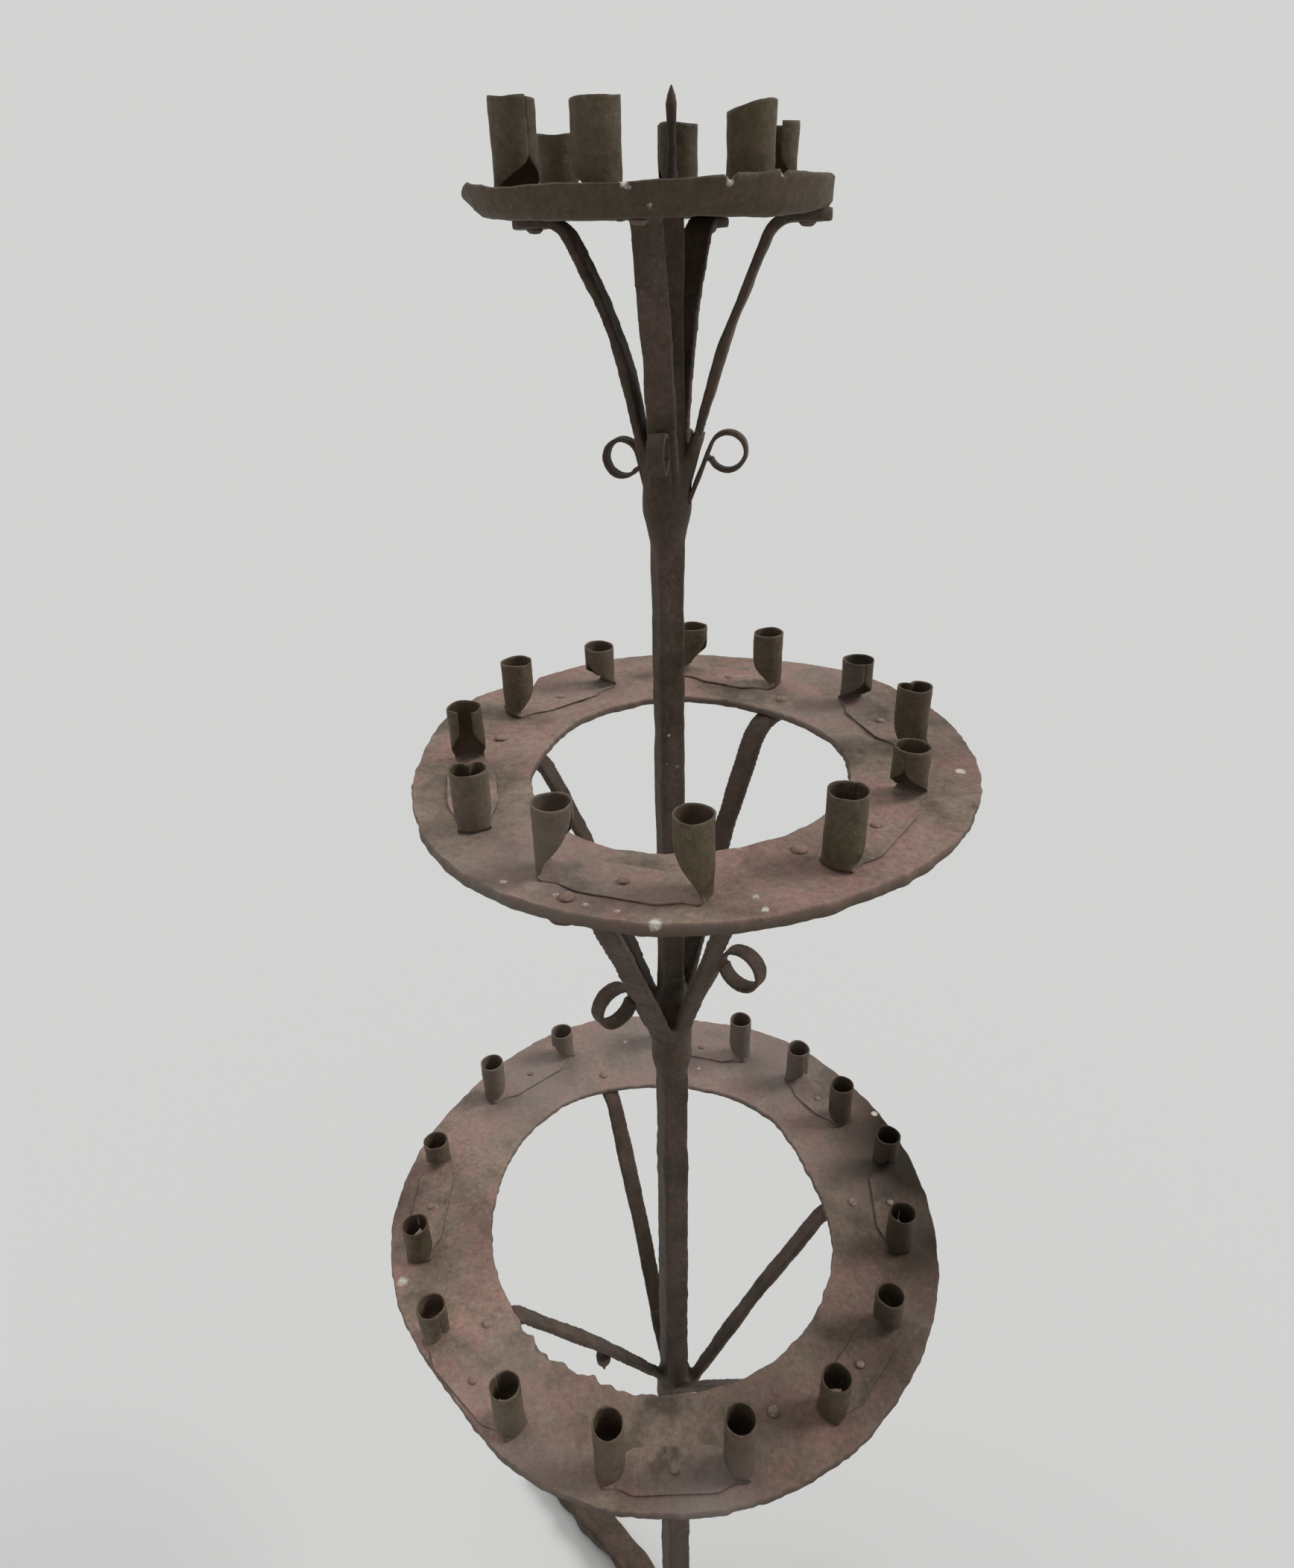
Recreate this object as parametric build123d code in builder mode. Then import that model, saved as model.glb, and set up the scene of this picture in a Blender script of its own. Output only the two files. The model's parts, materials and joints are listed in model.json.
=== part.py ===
from build123d import *
import os
from math import acos, cos, degrees, radians, sin

# A forged iron candle stand: a square stem on three low legs carries a drip tray and two
# flat rings on curved flat-bar struts, and pairs of rolled sheet sockets hold the candles.
# Millimetres and degrees. The stem's axis is Z, the floor is at 0, and the front is -Y.
# Azimuths turn from +X towards +Y.

# Stem: a lower and an upper tapered square bar, set end to end
STEM_TURN = 20
STEM_FOOT_SIDE = 31
STEM_WAIST_SIDE = 22
STEM_JOIN_RISE = 4
UPPER_STEM_SIDE = 19
UPPER_STEM_TOP_SIDE = 17.5

# Swellings where the stem is upset and welded
SWELLING_TAPER = 30
FOOT_SWELLING_RADIUS = 28
FOOT_SWELLING_RISE = 4
FOOT_SWELLING_TAPER = 8
LOWER_SWELLING_RADIUS = 19.5
LOWER_SWELLING_DROP = 6
LOWER_SWELLING_RISE = 34
WAIST_SWELLING_RADIUS = 17.5
WAIST_SWELLING_DROP = 30
WAIST_SWELLING_RISE = 26
TOP_SWELLING_RADIUS = 15
TOP_SWELLING_DROP = -20
TOP_SWELLING_RISE = 46

# Pricket drawn out of the upper stem, through the tray, a little to one side of its axis
SPIKE_OFFSET = 4
SPIKE_TENON_RADIUS = 4
SPIKE_RADIUS = 2.4
SPIKE_TIP_RADIUS = 0.5
SPIKE_TENON_LENGTH = 8
SPIKE_TAPER_LENGTH = 12
SPIKE_SLIM_LENGTH = 30
SPIKE_POINT_LENGTH = 9
SPIKE_CLEARANCE = 0.1

# Legs: thick bars that lie low on the floor
LEG_AZIMUTHS = {"back_left": 134, "front": 254, "right": 4}
LEG_WIDTH = 40
LEG_THICKNESS = 28
LEG_ROOT_LIFT = 8
LEG_CREST_LIFT = 6
LEG_CREST_REACH = 120
LEG_REACH = 290
LEG_TOE_LENGTH = 50
LEG_CREST_RADIUS = 300
LEG_ANKLE_RADIUS = 150
LEG_TOE_RADIUS = 14

# Struts: flat bars, welded to the stem below and ending above in a round riveted leaf
STRUT_WIDTH = 18
STRUT_THICKNESS = 6
LEAF_RADIUS = 13

# Each row below is one hand-bent strut: its azimuth, how far its weld lies below the seat, how far its
# knee lies inside the upper bend and below the seat, and how far its rivet lies out from the plate's edge
TRAY_SEAT_HEIGHT = 1773
TOP_WELD_DROP = 186
TOP_KNEE_RADIUS = 200
TOP_BEND_RADIUS = 20
TOP_FLAT_RUN = 20
TOP_STRUTS = {
    "right": (350, 176, 27, 63, -18.5),
    "back": (68, 178, 34, 62, -18.5),
    "left": (162, 178, 34, 62, -18.5),
    "front": (259.5, 176, 35, 79, -18.5),
}

MIDDLE_SEAT_HEIGHT = 1424
MIDDLE_WELD_DROP = 267
MIDDLE_KNEE_RADIUS = 250
MIDDLE_BEND_RADIUS = 28
MIDDLE_FLAT_RUN = 32
MIDDLE_STRUTS = {
    "back_right": (45, 248, 39, 79, 23),
    "back_left": (165, 267, 36, 78, 20),
    "front_right": (300, 282, 49, 106, 39),
}

LONG_STRUT_KNEE_RADIUS = 400
LONG_STRUT_BEND_RADIUS = 30
LONG_STRUT_FLAT_RUN = 24
LONG_STRUTS = {"front_left": (250, 279, 82, 141, -15.9)}

LOWER_SEAT_HEIGHT = 912
LOWER_WELD_DROP = 307
LOWER_KNEE_RADIUS = 800
LOWER_BEND_RADIUS = 25
LOWER_FLAT_RUN = 30
LOWER_STRUTS = {
    "right": (2, 328, 71, 143, 9.5),
    "back": (112, 307, 80, 127, 26.5),
    "left": (213, 283, 77, 118, 31.5),
    "front": (292, 297, 84, 142, 32.5),
}

# Scrolls: thin straps on the outside of the strut feet, each rolled into one loop
SCROLL_END_GAP = 0.6
TOP_SCROLL_WIDTH = 11
TOP_SCROLL_THICKNESS = 2.5
TOP_SCROLL_LOOP_RADIUS = 10
# Each tray scroll's run from its foot to its loop, and how far it leans out from its strut
TOP_SCROLLS = {"right": (58, 5), "back": (52, 0), "left": (50, 0), "front": (57, 0)}
MIDDLE_SCROLL_WIDTH = 14
MIDDLE_SCROLL_THICKNESS = 3
MIDDLE_SCROLL_LOOP_RADIUS = 15.5
LEFT_SCROLL_AZIMUTH = 218
LEFT_SCROLL_WELD_DROP = 47
LEFT_SCROLL_REACH = 45
LEFT_SCROLL_RISE = 118
RIGHT_SCROLL_AZIMUTH = 322
RIGHT_SCROLL_WELD_DROP = 22
RIGHT_SCROLL_REACH = 55
RIGHT_SCROLL_RISE = 134

# Drip tray: a shallow pan of sheet iron
TRAY_CENTRE_X = -8
TRAY_RADIUS = 103
TRAY_FLARE = 4.5
TRAY_RIM_HEIGHT = 12
TRAY_CORNER_RADIUS = 8
TRAY_SHEET = 2.5

# Rings: flat plates that hang a little off the stem's centre
PLATE_THICKNESS = 6
MIDDLE_CENTRE_X = 17.5
MIDDLE_CENTRE_Y = -1.8
MIDDLE_OUTER_RADIUS = 203.5
MIDDLE_RING_WIDTH = 90.5
LOWER_CENTRE_X = -10.5
LOWER_CENTRE_Y = 3.2
LOWER_OUTER_RADIUS = 267.5
LOWER_RING_WIDTH = 96

# How far the hand-cut edges of the rings stray from a circle, by azimuth
MIDDLE_RIM_BULGES = {
    5: 3, 45: 11, 75: -1, 102: 7, 125: 0, 150: 8, 180: -1, 225: 4, 260: 0, 295: -7, 330: -3,
}
MIDDLE_HOLE_BULGES = {
    0: -2, 30: -8, 55: -10, 95: -5, 135: -4, 170: -2, 205: 11, 240: 21, 275: 14, 305: 8, 335: 2,
}
LOWER_RIM_BULGES = {
    5: 0, 33: 4, 62: 10, 80: 6, 107: 16, 145: 4, 180: 1, 200: -6, 222: -16, 245: -6, 270: -3, 330: -1,
}
LOWER_HOLE_BULGES = {16: -14, 45: -5, 95: -7, 131: 4, 180: -2, 220: 0, 260: 5, 300: 10, 340: -2}

# Candle sockets: a strip whose two ends are bent up and rolled into tubes
SOCKET_BORE_RADIUS = 11.25
SOCKET_SHEET = 1.5
SOCKET_STRIP_WIDTH = 34
SOCKET_SEAM = 2.5
SOCKET_QUILL_HEIGHT = 22
SOCKET_FOLD_SHARE = 0.6

# Each pair's two tubes, set out by eye: azimuth, how far the tube stands inside the plate's edge, and height
TRAY_PAIRS = {
    "back": ((76, 24, 46), (136, 24, 40)),
    "front_left": ((195, 24, 49), (249, 24, 42)),
    "right": ((312, 24, 39), (15, 24, 40)),
}
MIDDLE_PAIRS = {
    "front": ((239, 30, 49), (267, 30, 54)),
    "front_right": ((299.5, 37, 50), (335, 48, 37)),
    "right": ((4, 42, 47), (33, 40, 38)),
    "back": ((62, 55, 47), (87, 42, 43)),
    "back_left": ((118, 49, 36), (148, 43, 44)),
    "left": ((181, 40, 45), (212, 30, 42)),
}
LOWER_PAIRS = {
    "front": ((259, 28, 71), (283, 28, 70)),
    "front_right": ((305.5, 33, 46), (328, 37, 44)),
    "right": ((349, 38, 47), (11, 31, 47)),
    "back_right": ((29, 42, 52), (46, 39, 51)),
    "back": ((65, 38, 56), (88, 33, 52)),
    "back_left": ((118, 26, 38), (140.5, 26, 51)),
    "left": ((166, 27, 38), (190.5, 30, 43)),
    "front_left": ((212.5, 29, 50), (237, 31, 57)),
}

# Rivets
STRUT_RIVET_RADIUS = 3
STRUT_RIVET_HEAD_RADIUS = 5
STRUT_RIVET_HEAD_HEIGHT = 2.6
STRIP_RIVET_RADIUS = 2
STRIP_RIVET_HEAD_RADIUS = 3.8
STRIP_RIVET_HEAD_HEIGHT = 1.8
RIVET_CLEARANCE = 0.1
RIVET_HEAD_FLAT_SHARE = 0.6
RIVET_HEAD_RIM_SHARE = 0.35

# Heights and circles that follow from these sizes
LEG_ROOT_HEIGHT = LEG_THICKNESS + LEG_ROOT_LIFT
LEG_CREST_HEIGHT = LEG_THICKNESS + LEG_CREST_LIFT
FOOT_SWELLING_HEIGHT = LEG_ROOT_HEIGHT + FOOT_SWELLING_RISE
LOWER_WELD_HEIGHT = LOWER_SEAT_HEIGHT - LOWER_WELD_DROP
MIDDLE_WELD_HEIGHT = MIDDLE_SEAT_HEIGHT - MIDDLE_WELD_DROP
LEFT_SCROLL_WELD_HEIGHT = MIDDLE_WELD_HEIGHT - LEFT_SCROLL_WELD_DROP
RIGHT_SCROLL_WELD_HEIGHT = MIDDLE_WELD_HEIGHT - RIGHT_SCROLL_WELD_DROP
STEM_JOIN_HEIGHT = MIDDLE_WELD_HEIGHT + STEM_JOIN_RISE
TOP_WELD_HEIGHT = TRAY_SEAT_HEIGHT - TOP_WELD_DROP
LOWER_TOP_HEIGHT = LOWER_SEAT_HEIGHT + PLATE_THICKNESS
MIDDLE_TOP_HEIGHT = MIDDLE_SEAT_HEIGHT + PLATE_THICKNESS
TRAY_FLOOR_HEIGHT = TRAY_SEAT_HEIGHT + TRAY_SHEET
TRAY_FLOOR_RADIUS = TRAY_RADIUS - TRAY_FLARE
MIDDLE_INNER_RADIUS = MIDDLE_OUTER_RADIUS - MIDDLE_RING_WIDTH
LOWER_INNER_RADIUS = LOWER_OUTER_RADIUS - LOWER_RING_WIDTH
SOCKET_RADIUS = SOCKET_BORE_RADIUS + SOCKET_SHEET


def save(part, name):
    """Label a finished piece and write its file."""
    part.label = name
    export_step(part, f"parts/{name}.step")


def polar(reach, azimuth, centre=(0, 0)):
    """The x and y of a point at a distance and azimuth from a centre."""
    turn = radians(azimuth)
    return centre[0] + reach * cos(turn), centre[1] + reach * sin(turn)


def upright(azimuth):
    """The upright plane through the stem's axis: x is reach from the axis, y is height."""
    turn = radians(azimuth)
    return Plane(origin=(0, 0, 0), x_dir=(cos(turn), sin(turn), 0), z_dir=(sin(turn), -cos(turn), 0))


def square_bar(low, low_side, high, high_side):
    """A tapered square bar standing on the stem's axis."""
    with BuildPart() as bar:
        for height, side in ((low, low_side), (high, high_side)):
            with BuildSketch(Plane.XY.offset(height)):
                Rectangle(side, side, rotation=STEM_TURN)
        loft()
    return bar.part


def turned(outline):
    """A round form about the stem's axis, from radius and height points off the axis."""
    with BuildPart() as form:
        with BuildSketch(Plane.XZ):
            with BuildLine():
                Polyline((0, outline[0][1]), *outline, (0, outline[-1][1]), close=True)
            make_face()
        revolve(axis=Axis.Z)
    return form.part


def bent_bar(azimuth, points, radii, width, thickness):
    """A flat bar bent in an upright plane, with its upper face along the points."""
    with BuildPart() as bar:
        with BuildSketch(upright(azimuth)):
            with BuildLine():
                FilletPolyline(*points, radius=radii)
                offset(amount=thickness, side=Side.RIGHT)
            make_face()
        extrude(amount=width / 2, both=True)
    return bar.part


def fit_against(neighbours):
    """Trim the part being built to the pieces that it is welded against."""
    for neighbour in neighbours:
        add(neighbour, mode=Mode.SUBTRACT)


def strut_points(seat, edge, flat_run, weld_drop, knee_inset, knee_drop, rivet_inset):
    """The upper face of a strut, from the stem's axis to the rivet under its plate."""
    rivet_reach = edge + rivet_inset
    bend_reach = rivet_reach - flat_run
    return [
        (0, seat - weld_drop),
        (bend_reach - knee_inset, seat - knee_drop),
        (bend_reach, seat),
        (rivet_reach, seat),
    ]


def strut(azimuth, points, radii, neighbours):
    """A bent strut with its round leaf, fitted to the pieces that it is welded against."""
    reach, seat = points[-1]
    with BuildPart() as piece:
        add(bent_bar(azimuth, points, radii, STRUT_WIDTH, STRUT_THICKNESS))
        with Locations((*polar(reach, azimuth), seat - STRUT_THICKNESS / 2)):
            Cylinder(LEAF_RADIUS, STRUT_THICKNESS)
            Cylinder(STRUT_RIVET_RADIUS + RIVET_CLEARANCE, STRUT_THICKNESS, mode=Mode.SUBTRACT)
        fit_against(neighbours)
    return piece


def scroll(azimuth, foot, top, loop_radius, width, thickness, neighbours):
    """A strap that runs from foot to top and then rolls outwards into one loop."""
    end_angle = degrees(acos((loop_radius - SCROLL_END_GAP) / (loop_radius + thickness)))
    rise = (Vector(top) - Vector(foot)).normalized()
    inward = Vector(-rise.Y, rise.X) * thickness
    with BuildPart() as strap:
        with BuildSketch(upright(azimuth)):
            with BuildLine():
                ends = []
                for shift, radius in ((Vector(0, 0), loop_radius), (inward, loop_radius + thickness)):
                    run = Line(Vector(foot) + shift, Vector(top) + shift)
                    loop = JernArc(run @ 1, rise, radius, end_angle - 360)
                    ends.append((run @ 0, loop @ 1))
                for near, far in zip(*ends):
                    Line(near, far)
            make_face()
        extrude(amount=width / 2, both=True)
        fit_against(neighbours)
    return strap


def socket_spots(pair, edge, centre):
    """Where the two tubes of a socket pair stand."""
    return [Vector(*polar(edge - inset, azimuth, centre)) for azimuth, inset, _ in pair]


def socket_pair(spots, heights, base):
    """A strip lying on its plate, with its two ends bent up and rolled into tubes."""
    middle = (spots[0] + spots[1]) / 2
    spread = (spots[1] - spots[0]).length / 2
    place = Plane(origin=(middle.X, middle.Y, base), x_dir=spots[1] - spots[0], z_dir=(0, 0, 1))
    low = (Align.CENTER, Align.CENTER, Align.MIN)
    with BuildPart(place) as pair:
        for side, height in zip((-1, 1), heights):
            with Locations((side * spread, 0, 0)):
                Cylinder(SOCKET_RADIUS, height, align=low)
                Cylinder(SOCKET_BORE_RADIUS, height, align=low, mode=Mode.SUBTRACT)
        # The strip opens out into the tube along a slanting cut, like a quill pen
        inner = spread - SOCKET_RADIUS
        with BuildSketch(Plane(place.origin, x_dir=place.x_dir, z_dir=-place.y_dir)):
            for sign in (-1, 1):
                with BuildLine():
                    Polyline(
                        (sign * inner, 0),
                        (sign * inner, SOCKET_QUILL_HEIGHT),
                        (sign * (spread + SOCKET_FOLD_SHARE * SOCKET_RADIUS), 0),
                        close=True,
                    )
                make_face()
        extrude(amount=SOCKET_RADIUS, both=True, mode=Mode.SUBTRACT)
        with Locations((0, 0, SOCKET_QUILL_HEIGHT / 2)):
            Box(2 * spread, SOCKET_SEAM, max(heights), align=low, mode=Mode.SUBTRACT)
        with BuildSketch(place):
            SlotOverall(2 * (spread + SOCKET_RADIUS), 2 * SOCKET_RADIUS)
            Rectangle(2 * (spread - SOCKET_RADIUS), SOCKET_STRIP_WIDTH)
            make_hull()
        extrude(amount=SOCKET_SHEET)
        Cylinder(STRIP_RIVET_RADIUS + RIVET_CLEARANCE, SOCKET_SHEET, align=low, mode=Mode.SUBTRACT)
    return pair


def rivets(spots, low, high, radius, head_radius, head_height):
    """Rivets with hammered heads that hold what lies between two heights."""
    flat = RIVET_HEAD_FLAT_SHARE * head_radius
    rim = RIVET_HEAD_RIM_SHARE * head_height
    with BuildPart() as rivet:
        with BuildSketch(Plane.XZ):
            with BuildLine():
                Polyline(
                    (0, low - head_height),
                    (flat, low - head_height),
                    (head_radius, low - rim),
                    (head_radius, low),
                    (radius, low),
                    (radius, high),
                    (head_radius, high),
                    (head_radius, high + rim),
                    (flat, high + head_height),
                    (0, high + head_height),
                    close=True,
                )
            make_face()
        revolve(axis=Axis.Z)
    with BuildPart() as group:
        with Locations(*spots):
            add(rivet.part)
    return group


def strip_spots(pairs, edge, centre):
    """Where the rivet through the middle of each socket strip stands."""
    middles = [sum(socket_spots(pair, edge, centre), Vector()) / 2 for pair in pairs.values()]
    return [(middle.X, middle.Y) for middle in middles]


def rivet_holes(spots, low, radius, thickness):
    """Holes up through the plate that is being built, from its underside."""
    with Locations(*[(*spot, low) for spot in spots]):
        Cylinder(
            radius + RIVET_CLEARANCE,
            thickness,
            align=(Align.CENTER, Align.CENTER, Align.MIN),
            mode=Mode.SUBTRACT,
        )


def ring(centre, seat, rim, hole, strut_holes, strip_holes):
    """A flat ring plate with its rivet holes. Its rim and its hole are each a radius and bulges."""
    with BuildPart() as plate:
        with BuildSketch(Plane((*centre, seat))):
            for (radius, bulges), mode in ((rim, Mode.ADD), (hole, Mode.SUBTRACT)):
                with BuildLine():
                    Spline(*[polar(radius + bulge, turn) for turn, bulge in bulges.items()], periodic=True)
                make_face(mode=mode)
        extrude(amount=PLATE_THICKNESS)
        rivet_holes(strut_holes, seat, STRUT_RIVET_RADIUS, PLATE_THICKNESS)
        rivet_holes(strip_holes, seat, STRIP_RIVET_RADIUS, PLATE_THICKNESS)
    return plate


os.makedirs("parts", exist_ok=True)

# Stem
foot_swelling = [
    (FOOT_SWELLING_RADIUS, 0),
    (FOOT_SWELLING_RADIUS, FOOT_SWELLING_HEIGHT),
    (STEM_FOOT_SIDE / 2, FOOT_SWELLING_HEIGHT + FOOT_SWELLING_TAPER),
]
lower_swelling = [
    (STEM_WAIST_SIDE / 2, LOWER_WELD_HEIGHT - LOWER_SWELLING_DROP - SWELLING_TAPER),
    (LOWER_SWELLING_RADIUS, LOWER_WELD_HEIGHT - LOWER_SWELLING_DROP),
    (LOWER_SWELLING_RADIUS, LOWER_WELD_HEIGHT + LOWER_SWELLING_RISE),
    (STEM_WAIST_SIDE / 2, LOWER_WELD_HEIGHT + LOWER_SWELLING_RISE + SWELLING_TAPER),
]
below_join = [
    (STEM_WAIST_SIDE / 2, STEM_JOIN_HEIGHT - WAIST_SWELLING_DROP - SWELLING_TAPER),
    (WAIST_SWELLING_RADIUS, STEM_JOIN_HEIGHT - WAIST_SWELLING_DROP),
    (WAIST_SWELLING_RADIUS, STEM_JOIN_HEIGHT),
]
above_join = [
    (WAIST_SWELLING_RADIUS, STEM_JOIN_HEIGHT),
    (WAIST_SWELLING_RADIUS, STEM_JOIN_HEIGHT + WAIST_SWELLING_RISE),
    (UPPER_STEM_TOP_SIDE / 2, STEM_JOIN_HEIGHT + WAIST_SWELLING_RISE + SWELLING_TAPER),
]
top_swelling = [
    (UPPER_STEM_TOP_SIDE / 2, TOP_WELD_HEIGHT - TOP_SWELLING_DROP - SWELLING_TAPER),
    (TOP_SWELLING_RADIUS, TOP_WELD_HEIGHT - TOP_SWELLING_DROP),
    (TOP_SWELLING_RADIUS, TOP_WELD_HEIGHT + TOP_SWELLING_RISE),
    (UPPER_STEM_TOP_SIDE / 2, TOP_WELD_HEIGHT + TOP_SWELLING_RISE + SWELLING_TAPER),
]
spike = [(SPIKE_TENON_RADIUS, TRAY_SEAT_HEIGHT)]
for radius, length in (
    (SPIKE_TENON_RADIUS, SPIKE_TENON_LENGTH),
    (SPIKE_RADIUS, SPIKE_TAPER_LENGTH),
    (SPIKE_RADIUS, SPIKE_SLIM_LENGTH),
    (SPIKE_TIP_RADIUS, SPIKE_POINT_LENGTH),
):
    spike.append((radius, spike[-1][1] + length))

with BuildPart() as lower_stem:
    add(square_bar(0, STEM_FOOT_SIDE, STEM_JOIN_HEIGHT, STEM_WAIST_SIDE))
    for outline in (foot_swelling, lower_swelling, below_join):
        add(turned(outline))
save(lower_stem.part, "lower_stem")

with BuildPart() as upper_stem:
    add(square_bar(STEM_JOIN_HEIGHT, UPPER_STEM_SIDE, TRAY_SEAT_HEIGHT, UPPER_STEM_TOP_SIDE))
    for outline in (above_join, top_swelling):
        add(turned(outline))
    with Locations((SPIKE_OFFSET, 0, 0)):
        add(turned(spike))
save(upper_stem.part, "upper_stem_with_pricket")

# Legs
leg_points = [
    (0, LEG_ROOT_HEIGHT),
    (LEG_CREST_REACH, LEG_CREST_HEIGHT),
    (LEG_REACH - LEG_TOE_LENGTH, LEG_THICKNESS),
    (LEG_REACH, LEG_THICKNESS),
]
legs = []
for place, azimuth in LEG_AZIMUTHS.items():
    with BuildPart() as leg:
        add(bent_bar(azimuth, leg_points, [LEG_CREST_RADIUS, LEG_ANKLE_RADIUS], LEG_WIDTH, LEG_THICKNESS))
        fillet(leg.edges().filter_by(Axis.Z).sort_by_distance((0, 0, 0))[-2:], LEG_TOE_RADIUS)
        fit_against([lower_stem.part] + legs)
    legs.append(leg.part)
    save(leg.part, f"{place}_leg")

# Struts under the tray, each with its scroll
stems = [lower_stem.part, upper_stem.part]
top_struts = []
top_lines = {}
for place, (azimuth, *drops) in TOP_STRUTS.items():
    points = strut_points(TRAY_SEAT_HEIGHT, TRAY_FLOOR_RADIUS, TOP_FLAT_RUN, *drops)
    piece = strut(azimuth, points, [TOP_KNEE_RADIUS, TOP_BEND_RADIUS], stems + top_struts)
    top_struts.append(piece.part)
    top_lines[place] = points
    save(piece.part, f"tray_strut_{place}")
tray_strut_spots = [polar(top_lines[place][-1][0], row[0]) for place, row in TOP_STRUTS.items()]
top_scrolls = []
for place, (run, lean) in TOP_SCROLLS.items():
    foot, knee = (Vector(*point) for point in top_lines[place][:2])
    rise = (knee - foot).normalized()
    scroll_foot = foot + rise.rotate(Axis.Z, -90) * (STRUT_THICKNESS + TOP_SCROLL_THICKNESS)
    curl = scroll(
        TOP_STRUTS[place][0],
        scroll_foot,
        scroll_foot + rise.rotate(Axis.Z, -lean) * run,
        TOP_SCROLL_LOOP_RADIUS,
        TOP_SCROLL_WIDTH,
        TOP_SCROLL_THICKNESS,
        stems + top_struts + top_scrolls,
    )
    top_scrolls.append(curl.part)
    save(curl.part, f"tray_scroll_{place}")

# Struts under the middle ring, one of them long enough to reach the ring's front edge
long_radii = [LONG_STRUT_KNEE_RADIUS, LONG_STRUT_BEND_RADIUS]
middle_radii = [MIDDLE_KNEE_RADIUS, MIDDLE_BEND_RADIUS]
middle_struts = []
middle_strut_spots = []
for rows, edge, flat_run, radii in (
    (LONG_STRUTS, MIDDLE_OUTER_RADIUS, LONG_STRUT_FLAT_RUN, long_radii),
    (MIDDLE_STRUTS, MIDDLE_INNER_RADIUS, MIDDLE_FLAT_RUN, middle_radii),
):
    for place, (azimuth, *drops) in rows.items():
        points = strut_points(MIDDLE_SEAT_HEIGHT, edge, flat_run, *drops)
        piece = strut(azimuth, points, radii, stems + middle_struts)
        middle_struts.append(piece.part)
        middle_strut_spots.append(polar(points[-1][0], azimuth))
        save(piece.part, f"middle_strut_{place}")

# The two larger scrolls below the middle ring
left_curl = scroll(
    LEFT_SCROLL_AZIMUTH,
    (0, LEFT_SCROLL_WELD_HEIGHT),
    (LEFT_SCROLL_REACH, LEFT_SCROLL_WELD_HEIGHT + LEFT_SCROLL_RISE),
    MIDDLE_SCROLL_LOOP_RADIUS,
    MIDDLE_SCROLL_WIDTH,
    MIDDLE_SCROLL_THICKNESS,
    stems + middle_struts,
)
save(left_curl.part, "middle_scroll_left")
right_curl = scroll(
    RIGHT_SCROLL_AZIMUTH,
    (0, RIGHT_SCROLL_WELD_HEIGHT),
    (RIGHT_SCROLL_REACH, RIGHT_SCROLL_WELD_HEIGHT + RIGHT_SCROLL_RISE),
    MIDDLE_SCROLL_LOOP_RADIUS,
    MIDDLE_SCROLL_WIDTH,
    MIDDLE_SCROLL_THICKNESS,
    stems + middle_struts + [left_curl.part],
)
save(right_curl.part, "middle_scroll_right")

# Struts under the lower ring
lower_struts = []
lower_strut_spots = []
for place, (azimuth, *drops) in LOWER_STRUTS.items():
    points = strut_points(LOWER_SEAT_HEIGHT, LOWER_INNER_RADIUS, LOWER_FLAT_RUN, *drops)
    piece = strut(azimuth, points, [LOWER_KNEE_RADIUS, LOWER_BEND_RADIUS], stems + lower_struts)
    lower_struts.append(piece.part)
    lower_strut_spots.append(polar(points[-1][0], azimuth))
    save(piece.part, f"lower_strut_{place}")

# Where the rivets through the socket strips stand
tray_centre = (TRAY_CENTRE_X, 0)
middle_centre = (MIDDLE_CENTRE_X, MIDDLE_CENTRE_Y)
lower_centre = (LOWER_CENTRE_X, LOWER_CENTRE_Y)
tray_strip_spots = strip_spots(TRAY_PAIRS, TRAY_FLOOR_RADIUS, tray_centre)
middle_strip_spots = strip_spots(MIDDLE_PAIRS, MIDDLE_OUTER_RADIUS, middle_centre)
lower_strip_spots = strip_spots(LOWER_PAIRS, LOWER_OUTER_RADIUS, lower_centre)

# Drip tray
with BuildPart() as tray:
    with BuildSketch(Plane((TRAY_CENTRE_X, 0, TRAY_SEAT_HEIGHT), x_dir=(1, 0, 0), z_dir=(0, -1, 0))):
        with BuildLine():
            FilletPolyline(
                (0, 0),
                (TRAY_FLOOR_RADIUS, 0),
                (TRAY_RADIUS, TRAY_RIM_HEIGHT),
                radius=TRAY_CORNER_RADIUS,
            )
            offset(amount=TRAY_SHEET, side=Side.LEFT)
        make_face()
    revolve(axis=Axis((TRAY_CENTRE_X, 0, 0), (0, 0, 1)))
    rivet_holes(tray_strut_spots, TRAY_SEAT_HEIGHT, STRUT_RIVET_RADIUS, TRAY_SHEET)
    rivet_holes(tray_strip_spots, TRAY_SEAT_HEIGHT, STRIP_RIVET_RADIUS, TRAY_SHEET)
    with Locations((SPIKE_OFFSET, 0, TRAY_SEAT_HEIGHT)):
        Cylinder(SPIKE_TENON_RADIUS + SPIKE_CLEARANCE, 2 * TRAY_SHEET, mode=Mode.SUBTRACT)
save(tray.part, "drip_tray")

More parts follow.
